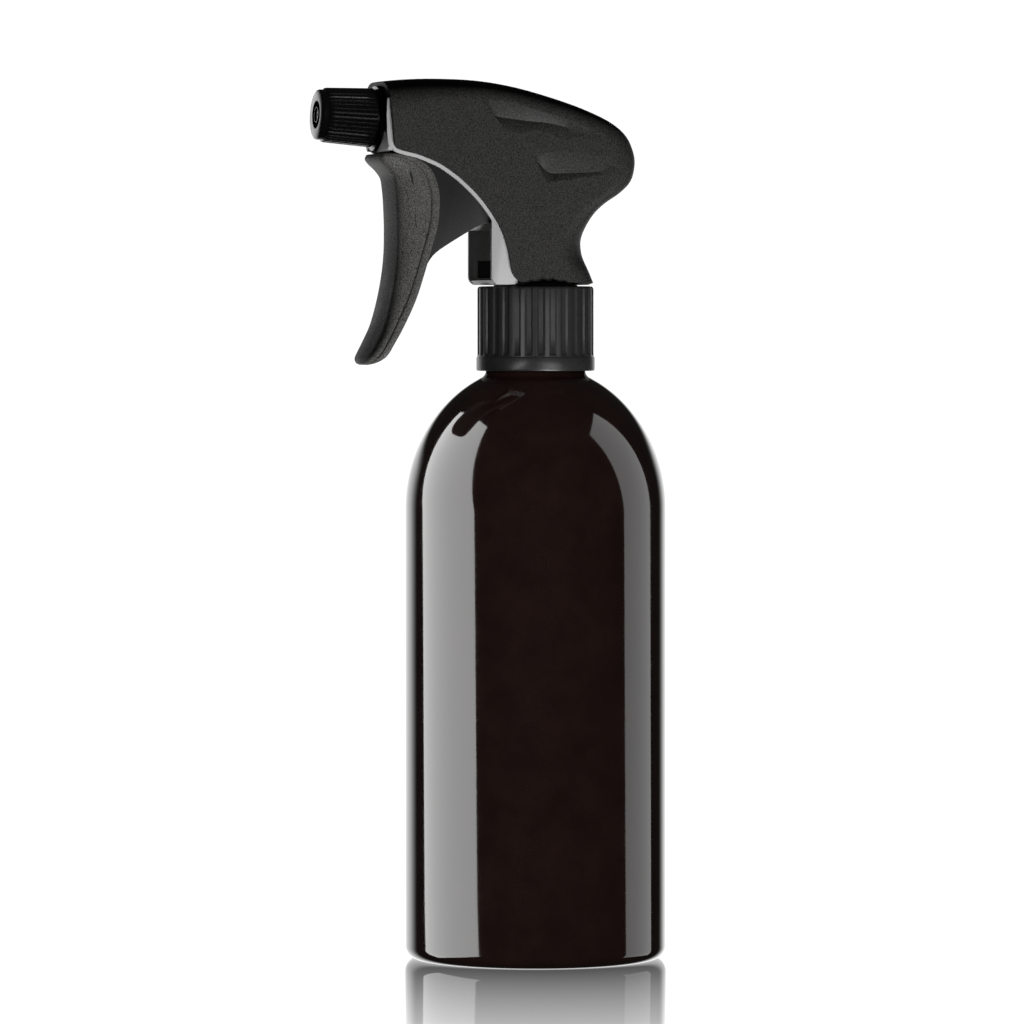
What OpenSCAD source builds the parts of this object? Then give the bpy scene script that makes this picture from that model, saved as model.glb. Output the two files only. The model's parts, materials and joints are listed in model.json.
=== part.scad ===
// Trigger spray bottle. Origin: centre of the base, on the bottle's axis. +Z up, nozzle towards -Y.
// The head's own heights are counted from the top of the bottle's neck.

/* [Bottle] */
// Outside diameter of the barrel
bottle_d = 70; // [60:1:90]
// Height of the straight barrel, up to the shoulder
barrel_h = 120.5; // [100:0.5:180]
// Height of the whole quarter ellipse that the shoulder is part of
shoulder_h = 38.7; // [30:0.1:50]
// Wall of the bottle
bottle_wall = 1; // [0.8:0.1:1.6]
// Floor of the bottle
floor_t = 1.4; // [1:0.1:2.5]
// Radius of the bottom edge
foot_r = 3.5; // [2:0.5:6]

/* [Neck] */
// Neck radius at the root of its thread
neck_r = 12.75; // [12.5:0.05:13]
// Bore radius of the neck
neck_bore_r = 10.8; // [10:0.1:11]
// Height of the neck above the shoulder's fillet
neck_h = 17.1; // [16.5:0.1:18.5]
// Fillet between the shoulder and the neck
neck_fillet = 2.5; // [1.5:0.1:3]
// Height of the neck thread's ridge
thread_h = 0.95; // [0.8:0.05:1]
// Rise of the neck thread in one turn
thread_pitch = 4.23; // [4:0.01:4.5]
// Turns of the neck thread
thread_turns = 1.5; // [1.25:0.25:1.75]

/* [Collar] */
// Outside diameter over the ribs
collar_d = 31.2; // [30.6:0.1:34]
// Height of the collar
collar_h = 22.6; // [21.5:0.1:23]
// Height of the plain band at its foot
band_h = 3.8; // [2:0.1:6]
// Number of grooves round it
groove_count = 30; // [20:1:40]
// Depth of a groove
groove_depth = 0.45; // [0.2:0.05:0.6]
// Thickness of the lip that holds the head down
lip_t = 2.3; // [1.8:0.1:3]

/* [Head] */
// Width of the shroud
head_w = 25; // [24.6:0.1:30]
// Wall of the shroud
shroud_wall = 1.3; // [1:0.1:1.5]
// Thickness of the body's cheeks
cheek_t = 1; // [0.8:0.1:1.3]
// Height of the shroud above the neck
head_h = 60; // [58:0.5:64]

/* [Trigger] */
// Distance of the pivot in front of the bottle's axis
pivot_y = 32; // [31:0.1:33]
// Height of the pivot above the neck
pivot_z = 47; // [46.5:0.1:47.5]
// Radius of the pivot studs
stud_r = 2; // [1.6:0.1:2.4]
// Angle of a full squeeze
squeeze = 20; // [12:1:20]
// Wall of the trigger
trigger_wall = 1.5; // [1.2:0.1:1.8]
// Radius of the bar that drives the piston
bar_r = 1.4; // [1.2:0.1:1.5]

/* [Pump] */
// Height of the pump's axis above the neck
pump_z = 27; // [26.5:0.1:27.5]
// Bore radius of the pump
pump_r = 6.2; // [5.4:0.1:6.3]
// Wall of the pump
pump_wall = 1; // [0.8:0.1:1]
// Radius of the valve balls
ball_r = 2; // [1.8:0.1:2.2]
// Outside radius of the dip tube
dip_r = 3; // [2.5:0.1:3.1]
// Wall of the dip tube
dip_wall = 0.8; // [0.5:0.1:1]

/* [Nozzle] */
// Upward tilt of the nozzle
nozzle_tilt = 2.8; // [0:0.1:3]
// Length of the nozzle cap
nozzle_l = 16.8; // [16.5:0.1:19]
// Radius of the cap's barrel at its back
nozzle_back_r = 7.95; // [7.7:0.05:8.4]
// Radius of the cap's barrel at its front
nozzle_front_r = 7.15; // [6.8:0.05:7.6]
// Ribs round the nozzle cap
rib_count = 36; // [24:1:48]
// Rise of the nozzle thread in one turn
nozzle_pitch = 2; // [1.8:0.1:2.2]

/* [Clearances] */
// Radial clearance of a running fit
run = 0.05; // [0.02:0.01:0.1]
// Gap between pieces that pass each other
gap = 0.4; // [0.3:0.05:0.5]
// Gap under a ball at rest
seat_gap = 0.1; // [0.05:0.01:0.2]

/* [Hidden] */
$fn = 64;
bottle_r = bottle_d / 2;

// shoulder: it stops where its fillet into the neck starts
join_r = neck_r + 1.85;
join_a = acos(join_r / bottle_r);
join_z = barrel_h + shoulder_h * sin(join_a);
rise_a = atan2(shoulder_h * cos(join_a), -bottle_r * sin(join_a));
fillet_x = join_r + neck_fillet * sin(rise_a);
fillet_z = join_z - neck_fillet * cos(rise_a);
neck_top = fillet_z + neck_h;

// neck and collar
thread_low = -9.8;
thread_start = 7;
thread_root = 2.2;
thread_crest = 1.1;
collar_bore = neck_r + thread_h + 0.65;
gasket_t = 1.2;
flange_t = 1.3;
flange_r = 13.6;
lip_low = gasket_t + flange_t + 0.2;
collar_top = lip_low + lip_t;
collar_low = collar_top - collar_h;
lip_r = 11.6;
band_r = collar_d / 2 + 0.25;

// widths across the head, from the outside in
shroud_in = head_w / 2 - shroud_wall;
cheek_out = shroud_in - 0.2;
cheek_in = cheek_out - cheek_t;
trigger_x = cheek_in - gap;
plate_in = trigger_x - trigger_wall;
plinth_low = collar_top + gap;
plinth_t = 1.2;

// pump: its bar swings an equal angle to each side of straight below the pivot
arm = (pivot_z - pump_z) / cos(squeeze / 2);
bar_y = -pivot_y - arm * sin(squeeze / 2);
stroke = 2 * arm * sin(squeeze / 2);
riser_r = 4.2;
pump_out = pump_r + pump_wall;
pump_mouth = -19.5;
pump_floor = -4.6;
piston_back = pump_floor - stroke - 0.6;
piston_l = 6;
piston_front = piston_back - piston_l;
seal_depth = 1;
seal_w = 1.6;
spring_r = pump_r - 2.6;
spring_pocket = 4.7;

// valves
chamber_r = ball_r + 0.5;
port_r = ball_r - 0.4;
inlet_z = -2;
inlet_top = inlet_z + 2.6 * ball_r;
inlet_ball_z = inlet_z + sqrt(ball_r * ball_r - port_r * port_r) + seat_gap;
discharge_z = pump_z + 9;
discharge_ball_z = discharge_z + sqrt(ball_r * ball_r - port_r * port_r) + seat_gap;
stem_r = dip_r + 2.2;
stem_low = -12;
retainer_r = dip_r + 0.9;
retainer_low = stem_low + 0.5;
socket_top = inlet_z - 2.2;
plug_low = 49.6;
riser_top = 52.2;
plug_r = chamber_r + 0.4;

// nozzle: measured forwards from the bezel, along the nozzle's own axis
bezel_y = -43.6;
nozzle_z = 49.45;
bezel_t = 1.2;
bezel_low = -8.6;
bezel_top = 8;
bezel_round = 6.5;
pocket_x = 8.9;
pocket_t = 2.2;
tube_r = 3.2;
tube_bore = 1.5;
spout_r = 4.5;
spout_crest = spout_r + 0.7;
spout_l = 8.5;
tip_r = 3.2;
tip_l = 12.8;
cap_back = 0.5;
cap_bore = spout_crest + 0.5;
cap_crest = cap_bore - 0.75;
cap_front = cap_back + nozzle_l;
seal_back = 9.2;
seal_t = 1.2;
seal_r = tip_r + 1.1;

// dip tube
dip_low = 12;
strainer_low = 6;
strainer_r = dip_r + 1.2;

// a smooth curve through points, with n steps between each pair
function lerp(a, b, t) = a + (b - a) * t;
function knot(p, i) = p[max(0, min(len(p) - 1, i))];
function bend(a, b, c, d, t) =
    0.5 * (2 * b + (c - a) * t + (2 * a - 5 * b + 4 * c - d) * t * t + (3 * b - a - 3 * c + d) * t * t * t);
function smooth(p, n = 4) = concat(
    [for (i = [0 : len(p) - 2], k = [0 : n - 1])
        bend(knot(p, i - 1), knot(p, i), knot(p, i + 1), knot(p, i + 2), k / n)],
    [p[len(p) - 1]]);
function arc(cx, cy, r, from, to, n = 8) =
    [for (i = [0 : n]) [cx + r * cos(lerp(from, to, i / n)), cy + r * sin(lerp(from, to, i / n))]];

// the head's side outlines: distance along Y, height above the neck
front_edge = smooth([[-43.4, 50], [-43.3, 44], [-42.4, 41.4], [-35.2, 39.3], [-29.8, 37.1], [-22.3, 31.6],
                     [-16.5, 25.2], [-12.2, 17.6], [-10.8, 11.6], [-10.2, 8.4], [-8.2, 6.2]]);
back_line = smooth([[15.4, 2], [14.4, 5.6], [12.9, 9.6], [11.8, 13.6], [11.5, 17.2], [12.4, 20.8], [14.4, 24.2],
                    [17.6, 27.2], [21.8, 30], [24.9, 33.2], [26, 37.4], [25.6, 41], [23.6, 45.2], [19.5, 48.7],
                    [13, 51.8], [4.4, 54.8], [-7.1, 57.9], [-18, 59.6], [-29.5, 60], [-38, 59.7], [-48, 58.6]], 2);
hub = [-30, 10]; // the shroud's sections all point away from here
hub_r = 15;
round_r = 7.8;
rim = 1.3; // how far the body's cheeks show in front of the shroud
trigger_front = smooth([[-46.6, 38.9], [-46.2, 37.2], [-42.3, 34.2], [-41, 29.5], [-40.5, 20], [-41.2, 8],
                        [-44, -5], [-49.2, -13.4], [-50, -15.4], [-49.4, -16.4]]);
trigger_rim = smooth([[-47.4, -15], [-41.6, -9.6], [-36.2, 0.6], [-32.4, 12], [-30, 21], [-29.4, 28.4],
                      [-31.4, 35], [-36.2, 38.6], [-42, 39.6]]);
web_low = smooth([[-33, 10.5], [-30.4, 13.8], [-23.7, 18.1], [-18.4, 21], [-14.4, 21.8]]);
web_back = smooth([[-14, 22.4], [-14.8, 27], [-18.6, 35], [-24.4, 42], [-27.4, 46]], 3);

module at_neck() { translate([0, 0, neck_top]) children(); }

module at_nozzle() {
    translate([0, bezel_y, neck_top + nozzle_z]) rotate([90 - nozzle_tilt, 0, 0]) children();
}

// an outline in the Y-Z plane made into a plate from x = low to x = high
module side_plate(outline, low, high) {
    translate([low, 0, 0]) rotate([90, 0, 90]) linear_extrude(high - low) polygon(outline);
}

module both_sides() {
    children();
    mirror([1, 0, 0]) children();
}

module ring(outer, inner, low, high) {
    difference() {
        translate([0, 0, low]) cylinder(r = outer, h = high - low);
        translate([0, 0, low - 1]) cylinder(r = inner, h = high - low + 2);
    }
}

// a helical ridge: its foot is at r, its crest at r + h; a negative h points inwards
module thread(r, h, pitch, turns, root, crest, low, steps = 24) {
    count = round(turns * steps);
    foot = r - sign(h) * 0.3;
    rings = [for (i = [0 : count])
        let (a = thread_start + i * 360 / steps, z = low + pitch * i / steps, fade = min(1, i / 3, (count - i) / 3))
        let (top = r + h * max(0.1, fade))
        for (p = [[foot, -root / 2], [top, -crest / 2], [top, crest / 2], [foot, root / 2]])
            [p[0] * cos(a), p[0] * sin(a), z + p[1]]];
    sides = [for (i = [0 : count - 1], j = [0 : 3])
        let (a = 4 * i + j, b = 4 * i + (j + 1) % 4)
        for (f = [[a, b, b + 4], [a, b + 4, a + 4]]) f];
    ends = [[3, 2, 1], [3, 1, 0], [4 * count, 4 * count + 1, 4 * count + 2],
            [4 * count, 4 * count + 2, 4 * count + 3]];
    faces = concat(sides, ends);
    polyhedron(rings, h > 0 ? faces : [for (f = faces) [f[2], f[1], f[0]]]);
}

// a coil spring: a wire of 6 sides along a helix, standing on z = 0
module coil(r, wire, length, turns, steps = 16) {
    count = turns * steps;
    points = [for (i = [0 : count], j = [0 : 5])
        let (a = i * 360 / steps, b = j * 60, q = r + wire * cos(b))
        [q * cos(a), q * sin(a), wire + (length - 2 * wire) * i / count + wire * sin(b)]];
    sides = [for (i = [0 : count - 1], j = [0 : 5])
        let (a = 6 * i + j, b = 6 * i + (j + 1) % 6)
        for (f = [[b + 6, b, a], [a + 6, b + 6, a]]) f];
    ends = [for (j = [1 : 4]) for (f = [[0, j, j + 1], [6 * count, 6 * count + j + 1, 6 * count + j]]) f];
    polyhedron(points, concat(sides, ends));
}

// half section of the bottle's outside, moved inwards by t
function bottle_side(t) = concat(
    arc(bottle_r - foot_r, foot_r, foot_r - t, -90, 0, 6),
    [for (i = [0 : 20]) let (a = join_a * i / 20) [(bottle_r - t) * cos(a), barrel_h + (shoulder_h - t) * sin(a)]]);

module bottle() {
    neck_foot = fillet_x - neck_fillet;
    outside = concat(
        [[0, 0]],
        bottle_side(0),
        arc(fillet_x, fillet_z, neck_fillet, rise_a + 90, 180, 6),
        [[neck_foot, fillet_z + 0.8], [neck_r, fillet_z + 1.6], [neck_r, neck_top - 0.5],
         [neck_r - 0.5, neck_top], [0, neck_top]]);
    inside = concat(
        [[0, floor_t], [bottle_r - foot_r, floor_t]],
        [for (p = bottle_side(bottle_wall)) if (p[1] > floor_t && p[0] > neck_bore_r + 3) p],
        [[neck_bore_r, fillet_z], [neck_bore_r, neck_top + 1], [0, neck_top + 1]]);
    color([0.11, 0.07, 0.06]) union() {
        difference() {
            rotate_extrude($fn = 128) polygon(outside);
            rotate_extrude($fn = 128) polygon(inside);
        }
        at_neck() thread(neck_r, thread_h, thread_pitch, thread_turns, thread_root, thread_crest, thread_low);
    }
}

module collar() {
    r = collar_d / 2;
    low = collar_low;
    half = [[collar_bore, low], [band_r - 0.4, low], [band_r, low + 0.4], [band_r, low + band_h - 0.4],
            [r, low + band_h], [r, collar_top - 0.8], [r - 0.24, collar_top - 0.24], [r - 0.8, collar_top],
            [lip_r, collar_top], [lip_r, lip_low], [collar_bore, lip_low]];
    groove_w = PI * collar_d / groove_count / 2;
    color([0.1, 0.1, 0.1]) at_neck() union() {
        difference() {
            rotate_extrude($fn = 120) polygon(half);
            for (i = [0 : groove_count - 1])
                rotate([0, 0, i * 360 / groove_count])
                    translate([r - groove_depth, -groove_w / 2, low + band_h + 0.3])
                        cube([2, groove_w, collar_h]);
        }
        thread(collar_bore, -1.25, thread_pitch, thread_turns, 1.6, 0.8, thread_low - thread_pitch / 2);
    }
}

module neck_gasket() {
    color([0.75, 0.75, 0.72]) at_neck() ring(neck_r - 0.3, stem_r + 2, 0, gasket_t);
}

// the shroud's section at one point of its back line: up one side, over and down the other, in by t
function section(p, t) =
    let (d = p - hub, far = norm(d), u = d / far, half = head_w / 2 - t, r = round_r - t)
    let (corner = arc(half - r, far - r, r, 0, 90, 6))
    let (right = concat([[half, hub_r]], corner))
    let (left = [for (i = [len(right) - 1 : -1 : 0]) [-right[i][0], right[i][1]]])
    [for (q = concat(right, left)) [q[0], hub[0] + u[0] * q[1], hub[1] + u[1] * q[1]]];
function inward(p, i) =
    let (d = knot(p, i + 1) - knot(p, i - 1)) [-d[1], d[0]] / norm(d);

module shroud() {
    lift = [0, head_h - 60];
    line = [for (p = back_line) p[1] > 30 ? p + lift : p];
    outer = [for (p = line) section(p, 0)];
    inner = [for (i = [0 : len(line) - 1]) section(line[i] + shroud_wall * inward(line, i), shroud_wall)];
    n = len(outer[0]);
    loop = 2 * n;
    last = (len(line) - 1) * loop;
    points = [for (i = [0 : len(line) - 1]) each concat(outer[i], [for (j = [n - 1 : -1 : 0]) inner[i][j]])];
    sides = [for (i = [0 : len(line) - 2], j = [0 : loop - 1])
        let (a = i * loop + j, b = i * loop + (j + 1) % loop)
        for (f = [[a, b, b + loop], [a, b + loop, a + loop]]) f];
    ends = [for (j = [0 : n - 2])
        for (f = [[loop - 1 - j, j + 1, j], [loop - 1 - j, loop - 2 - j, j + 1],
                  [last + j, last + j + 1, last + loop - 1 - j],
                  [last + j + 1, last + loop - 2 - j, last + loop - 1 - j]]) f];
    front = concat([[-60, 80], [-44.3, 80]], front_edge, [[20, 6.1], [20, -10], [-60, -10]]);
    color([0.13, 0.13, 0.13]) at_neck() difference() {
        polyhedron(points, concat(sides, ends));
        side_plate(front, -head_w, head_w);
    }
}

// the body's cheeks: inside the shroud, with a rim showing along its front edge
module cheeks() {
    edge = [for (p = front_edge) if (p[1] > 8) [p[0] - rim * 0.75, p[1] - rim * 0.75]];
    outline = concat([[-44.4, 50], [-44.4, 45]], [for (p = edge) if (p[0] > -44.2 && p[1] < 44) p],
                     [[-15.6, 17], [-15.2, plinth_low], [2, plinth_low], [2, 46], [-10, 50], [-44.4, 52.4]]);
    both_sides() side_plate(outline, cheek_in, cheek_out);
}

// the panel behind the nozzle: round upper corners, and a pocket low down between two short legs
module bezel() {
    difference() {
        union() {
            translate([0, 0, -bezel_t]) linear_extrude(bezel_t) hull() both_sides() {
                translate([cheek_out - bezel_round, bezel_top - bezel_round]) circle(bezel_round);
                translate([cheek_out - 1.5, bezel_low + 1.5]) circle(1.5);
            }
            translate([-pocket_x - 0.8, bezel_low, -pocket_t - 0.8]) cube([2 * pocket_x + 1.6, 6.2, pocket_t + 0.8]);
        }
        translate([-pocket_x, bezel_low - 1, -pocket_t]) cube([2 * pocket_x, 6.2, pocket_t + 1]);
    }
}

module sprayer_body() {
    trough_r = cheek_in - 0.6;
    tube_back = bezel_y / cos(nozzle_tilt);
    color([0.72, 0.72, 0.72]) difference() {
        union() {
            at_neck() {
                translate([0, 0, gasket_t]) cylinder(r = flange_r, h = flange_t);
                translate([0, 0, gasket_t]) cylinder(r = lip_r - gap, h = plinth_low + 0.6 - gasket_t);
                translate([-cheek_out, -15.2, plinth_low]) cube([2 * cheek_out, 22, plinth_t]);
                translate([-cheek_out, -11, plinth_low]) cube([2 * cheek_out, 13, 14]);
                translate([0, 0, stem_low]) cylinder(r = stem_r, h = gasket_t - stem_low + 1);
                cylinder(r = riser_r, h = riser_top);
                translate([0, pump_mouth, pump_z]) rotate([-90, 0, 0])
                    cylinder(r = pump_out, h = -pump_mouth - 2);
                translate([-0.8, -18, pump_z + pump_out - 1]) cube([1.6, 18, 48 - pump_z - pump_out]);
                translate([-cheek_in - 0.2, -3, plinth_low + 5]) cube([2 * cheek_in + 0.4, 3, 32]);
                cheeks();
            }
            at_nozzle() {
                translate([0, 0, tube_back]) cylinder(r = tube_r, h = 1 - tube_back);
                bezel();
                cylinder(r = spout_r, h = spout_l);
                cylinder(r = tip_r, h = tip_l);
                thread(spout_r, 0.7, nozzle_pitch, 2.5, 0.9, 0.4, 2);
            }
        }
        at_neck() {
            // trough down the front, with its pocket
            translate([0, -17, plinth_low + plinth_t]) cylinder(r = trough_r, h = 12.4);
            translate([-5, -9.6, plinth_low + 2.4]) cube([10, 6, 5]);
            // pump bore, its port, and the vent
            translate([0, pump_mouth - 1, pump_z]) rotate([-90, 0, 0])
                cylinder(r = pump_r, h = pump_floor - pump_mouth + 1);
            translate([0, pump_floor - 1, pump_z - 3]) rotate([-90, 0, 0]) cylinder(r = 1.1, h = 5);
            translate([0, piston_front + 3.2, 0]) cylinder(r = 0.6, h = pump_z - 4);
            // inlet and discharge chambers up the riser
            translate([0, 0, stem_low - 1]) cylinder(r = retainer_r, h = inlet_z - stem_low + 1);
            translate([0, 0, inlet_z - 0.1]) cylinder(r = chamber_r, h = inlet_top - inlet_z + 0.1);
            translate([0, 0, inlet_top - 1]) cylinder(r = port_r, h = discharge_z - inlet_top + 2);
            translate([0, 0, discharge_z]) cylinder(r = chamber_r, h = riser_top);
            translate([0, 0, plug_low]) cylinder(r = plug_r, h = riser_top);
            // holes for the trigger's studs
            translate([-head_w, -pivot_y, pivot_z]) rotate([0, 90, 0]) cylinder(r = stud_r + run, h = 2 * head_w);
        }
        at_nozzle() {
            translate([0, 0, tube_back - 1]) cylinder(r = tube_bore, h = tip_l - tube_back + 3);
        }
    }
}

module trigger() {
    front = trigger_front;
    shell = concat(front, trigger_rim);
    hollow = concat([for (p = front) if (p[1] < 36 && p[1] > -10) [p[0] + trigger_wall, p[1]]],
                    [[-20, -10], [-20, 36]]);
    arm_plate = concat(web_low, web_back,
                       arc(-pivot_y, pivot_z, 4.4, 60, 180, 10), [[-38.6, 38], [-36, 12]]);
    color([0.12, 0.12, 0.12]) at_neck() union() {
        difference() {
            side_plate(shell, -trigger_x, trigger_x);
            side_plate(hollow, -plate_in, plate_in);
        }
        both_sides() {
            side_plate(arm_plate, plate_in, trigger_x);
            translate([plate_in, -pivot_y, pivot_z]) rotate([0, 90, 0])
                cylinder(r = stud_r, h = cheek_out - plate_in - 0.05);
        }
        translate([-plate_in - 0.5, bar_y, pump_z]) rotate([0, 90, 0])
            cylinder(r = bar_r, h = 2 * plate_in + 1);
    }
}

// turns +Z to +Y, from a point on the pump's axis
module on_pump(y) { at_neck() translate([0, y, pump_z]) rotate([-90, 0, 0]) children(); }

module piston() {
    rod_w = 5;
    slot_h = 2 * bar_r + 1;
    eye_front = bar_y - bar_r - run - 0.9;
    color([0.85, 0.85, 0.82]) difference() {
        union() {
            on_pump(piston_front) cylinder(r = pump_r - seal_depth, h = piston_l);
            on_pump(piston_front + 3.6) cylinder(r = pump_r - 0.3, h = 0.8);
            at_neck() translate([-rod_w / 2, eye_front, pump_z - 3]) cube([rod_w, piston_front - eye_front + 0.5, 6]);
        }
        on_pump(piston_back - spring_pocket) cylinder(r = spring_r + 0.6, h = spring_pocket + 1);
        at_neck() translate([-rod_w, bar_y - bar_r - run, pump_z - slot_h / 2])
            cube([2 * rod_w, 2 * (bar_r + run), slot_h]);
    }
}

module seal_ring(y) {
    color([0.2, 0.2, 0.2]) on_pump(y) ring(pump_r - run, pump_r - seal_depth, 0, seal_w);
}

module piston_seal() { seal_ring(piston_back - seal_w); }

module vent_seal() { seal_ring(piston_front); }

module return_spring() {
    length = pump_floor - piston_back + spring_pocket - 0.2;
    color([0.7, 0.72, 0.75]) on_pump(piston_back - spring_pocket + 0.1) coil(spring_r, 0.4, length, 5);
}

module tube_retainer() {
    color([0.8, 0.8, 0.78]) at_neck() difference() {
        translate([0, 0, retainer_low]) cylinder(r = retainer_r, h = inlet_z - retainer_low);
        translate([0, 0, retainer_low - 1]) cylinder(r = dip_r, h = socket_top - retainer_low + 1);
        translate([0, 0, socket_top - 1]) cylinder(r = port_r, h = 5);
    }
}

module inlet_ball() {
    color([0.8, 0.8, 0.8]) at_neck() translate([0, 0, inlet_ball_z]) sphere(r = ball_r);
}

module discharge_ball() {
    color([0.8, 0.8, 0.8]) at_neck() translate([0, 0, discharge_ball_z]) sphere(r = ball_r);
}

module discharge_spring() {
    low = discharge_ball_z + ball_r + 0.1;
    color([0.7, 0.72, 0.75]) at_neck() translate([0, 0, low]) coil(chamber_r - 0.7, 0.25, plug_low - low - 0.1, 6);
}

module riser_plug() {
    color([0.3, 0.3, 0.3]) at_neck() translate([0, 0, plug_low]) union() {
        cylinder(r = plug_r, h = riser_top - plug_low);
        translate([0, 0, riser_top - plug_low]) cylinder(r = riser_r, h = 0.8);
    }
}

module swirl_plug() {
    color([0.85, 0.85, 0.82]) at_nozzle() difference() {
        translate([0, 0, tip_l - 4.5]) cylinder(r = tube_bore, h = 4.5);
        for (a = [0, 120, 240]) rotate([0, 0, a])
            translate([tube_bore - 0.5, -0.3, tip_l - 5]) cube([1, 0.6, 6]);
    }
}

module nozzle_cap() {
    recess_d = 2;
    inner = tip_r + 0.5;
    outside = [[0, cap_back], [nozzle_back_r + 0.7, cap_back], [nozzle_back_r + 0.7, cap_back + 1],
               [nozzle_back_r, cap_back + 1.4], [nozzle_front_r, cap_front - 1.2],
               [nozzle_front_r - 0.55, cap_front], [0, cap_front]];
    bore = [[0, cap_back - 1], [cap_bore, cap_back - 1], [cap_bore, spout_l + 0.3], [inner, spout_l + 0.3],
            [inner, seal_back], [seal_r, seal_back], [seal_r, seal_back + seal_t], [inner, seal_back + seal_t],
            [inner, tip_l + 0.1], [0, tip_l + 0.1]];
    rib_w = PI * nozzle_front_r / rib_count;
    color([0.09, 0.09, 0.09]) at_nozzle() union() {
        difference() {
            rotate_extrude($fn = 120) polygon(outside);
            rotate_extrude($fn = 96) polygon(bore);
            translate([0, 0, cap_front - recess_d]) ring(nozzle_front_r - 1.6, 2.9, 0, recess_d + 1);
            translate([0, 0, tip_l - 1]) cylinder(r = 1.9, h = 10);
            for (i = [0 : rib_count - 1])
                rotate([0, 0, i * 360 / rib_count])
                    translate([nozzle_back_r - 0.28, 0, cap_back + 1.8])
                        rotate([0, atan2(nozzle_front_r - nozzle_back_r, nozzle_l - 2.6), 0])
                            translate([0, -rib_w / 2, 0]) cube([2, rib_w, nozzle_l - 4.6]);
        }
        thread(cap_bore, -0.75, nozzle_pitch, 2, 0.9, 0.4, 2 + nozzle_pitch / 2);
    }
}

module nozzle_seal() {
    color([0.2, 0.2, 0.2]) at_nozzle() ring(seal_r, tip_r + run, seal_back, seal_back + seal_t);
}

module orifice_insert() {
    color([0.12, 0.12, 0.12]) at_nozzle() difference() {
        translate([0, 0, tip_l + 0.1]) cylinder(r = 1.9, h = cap_front - tip_l - 0.5);
        translate([0, 0, tip_l]) cylinder(r = 0.35, h = 10);
    }
}

module dip_tube() {
    color([0.9, 0.9, 0.88]) ring(dip_r, dip_r - dip_wall, dip_low, neck_top + socket_top);
}

module strainer() {
    color([0.75, 0.75, 0.75]) difference() {
        translate([0, 0, strainer_low]) cylinder(r = strainer_r, h = dip_low - strainer_low + 5);
        translate([0, 0, strainer_low + 1]) cylinder(r = dip_r - dip_wall, h = 20);
        translate([0, 0, dip_low]) cylinder(r = dip_r, h = 20);
        for (a = [0 : 45 : 135]) rotate([0, 0, a])
            translate([-10, -0.5, strainer_low + 1.2]) cube([20, 1, 3.8]);
    }
}

bottle();
collar();
neck_gasket();
sprayer_body();
shroud();
trigger();
piston();
piston_seal();
vent_seal();
return_spring();
tube_retainer();
inlet_ball();
discharge_ball();
discharge_spring();
riser_plug();
swirl_plug();
nozzle_cap();
nozzle_seal();
orifice_insert();
dip_tube();
strainer();
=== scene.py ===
import json
import math
import bmesh
import bpy
from mathutils import Matrix, Vector
from mathutils.bvhtree import BVHTree

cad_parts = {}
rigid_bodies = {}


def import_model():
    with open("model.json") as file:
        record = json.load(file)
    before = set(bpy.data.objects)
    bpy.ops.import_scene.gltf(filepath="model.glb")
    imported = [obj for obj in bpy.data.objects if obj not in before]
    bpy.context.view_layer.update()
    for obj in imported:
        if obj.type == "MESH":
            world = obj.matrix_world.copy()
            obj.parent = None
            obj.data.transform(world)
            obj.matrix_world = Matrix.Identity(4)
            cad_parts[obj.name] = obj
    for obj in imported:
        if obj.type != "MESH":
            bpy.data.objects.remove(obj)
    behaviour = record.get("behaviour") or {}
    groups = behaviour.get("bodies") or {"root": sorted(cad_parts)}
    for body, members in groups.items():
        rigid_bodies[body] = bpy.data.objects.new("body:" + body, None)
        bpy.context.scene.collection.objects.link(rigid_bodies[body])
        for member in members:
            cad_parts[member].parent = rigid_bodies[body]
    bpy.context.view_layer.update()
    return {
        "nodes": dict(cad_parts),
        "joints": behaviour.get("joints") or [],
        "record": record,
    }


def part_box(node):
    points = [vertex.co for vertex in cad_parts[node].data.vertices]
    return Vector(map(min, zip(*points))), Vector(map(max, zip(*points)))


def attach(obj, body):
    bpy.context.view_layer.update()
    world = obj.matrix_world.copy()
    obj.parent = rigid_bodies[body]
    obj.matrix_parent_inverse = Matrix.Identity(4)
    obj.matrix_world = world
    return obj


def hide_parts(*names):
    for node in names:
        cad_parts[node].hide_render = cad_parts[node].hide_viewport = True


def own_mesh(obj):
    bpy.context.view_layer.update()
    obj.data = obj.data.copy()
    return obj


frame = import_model()

mm = 0.001
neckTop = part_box("bottle")[1].z  # heights in the head are counted from here
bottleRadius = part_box("bottle")[1].x / mm
joints = {j["name"]: j for j in frame["joints"]}


# lengths are in millimetres until a point is made from them
def headPoint(x, y, up):
    return Vector((x * mm, y * mm, neckTop + up * mm))


def mix(a, b, t):
    return a + (b - a) * t


def ease(t):
    t = min(1.0, max(0.0, t))
    return t * t * (3 - 2 * t)


# a curve from b to c that takes its slopes from the points before and after
def bend(a, b, c, d, t):
    square = 2 * a - 5 * b + 4 * c - d
    cube = 3 * b - a - 3 * c + d
    return 0.5 * (2 * b + (c - a) * t + square * t ** 2 + cube * t ** 3)


def smoothLine(points, steps):
    last = len(points) - 1
    line = []
    for i in range(last):
        near = [points[max(0, min(last, i + k))] for k in (-1, 0, 1, 2)]
        for s in range(steps):
            line.append(tuple(bend(*axis, s / steps) for axis in zip(*near)))
    line.append(tuple(points[-1]))
    return line


def arc(cx, cy, r, start, end, count):
    angles = [math.radians(mix(start, end, i / count)) for i in range(count + 1)]
    return [(cx + r * math.cos(a), cy + r * math.sin(a)) for a in angles]


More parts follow.
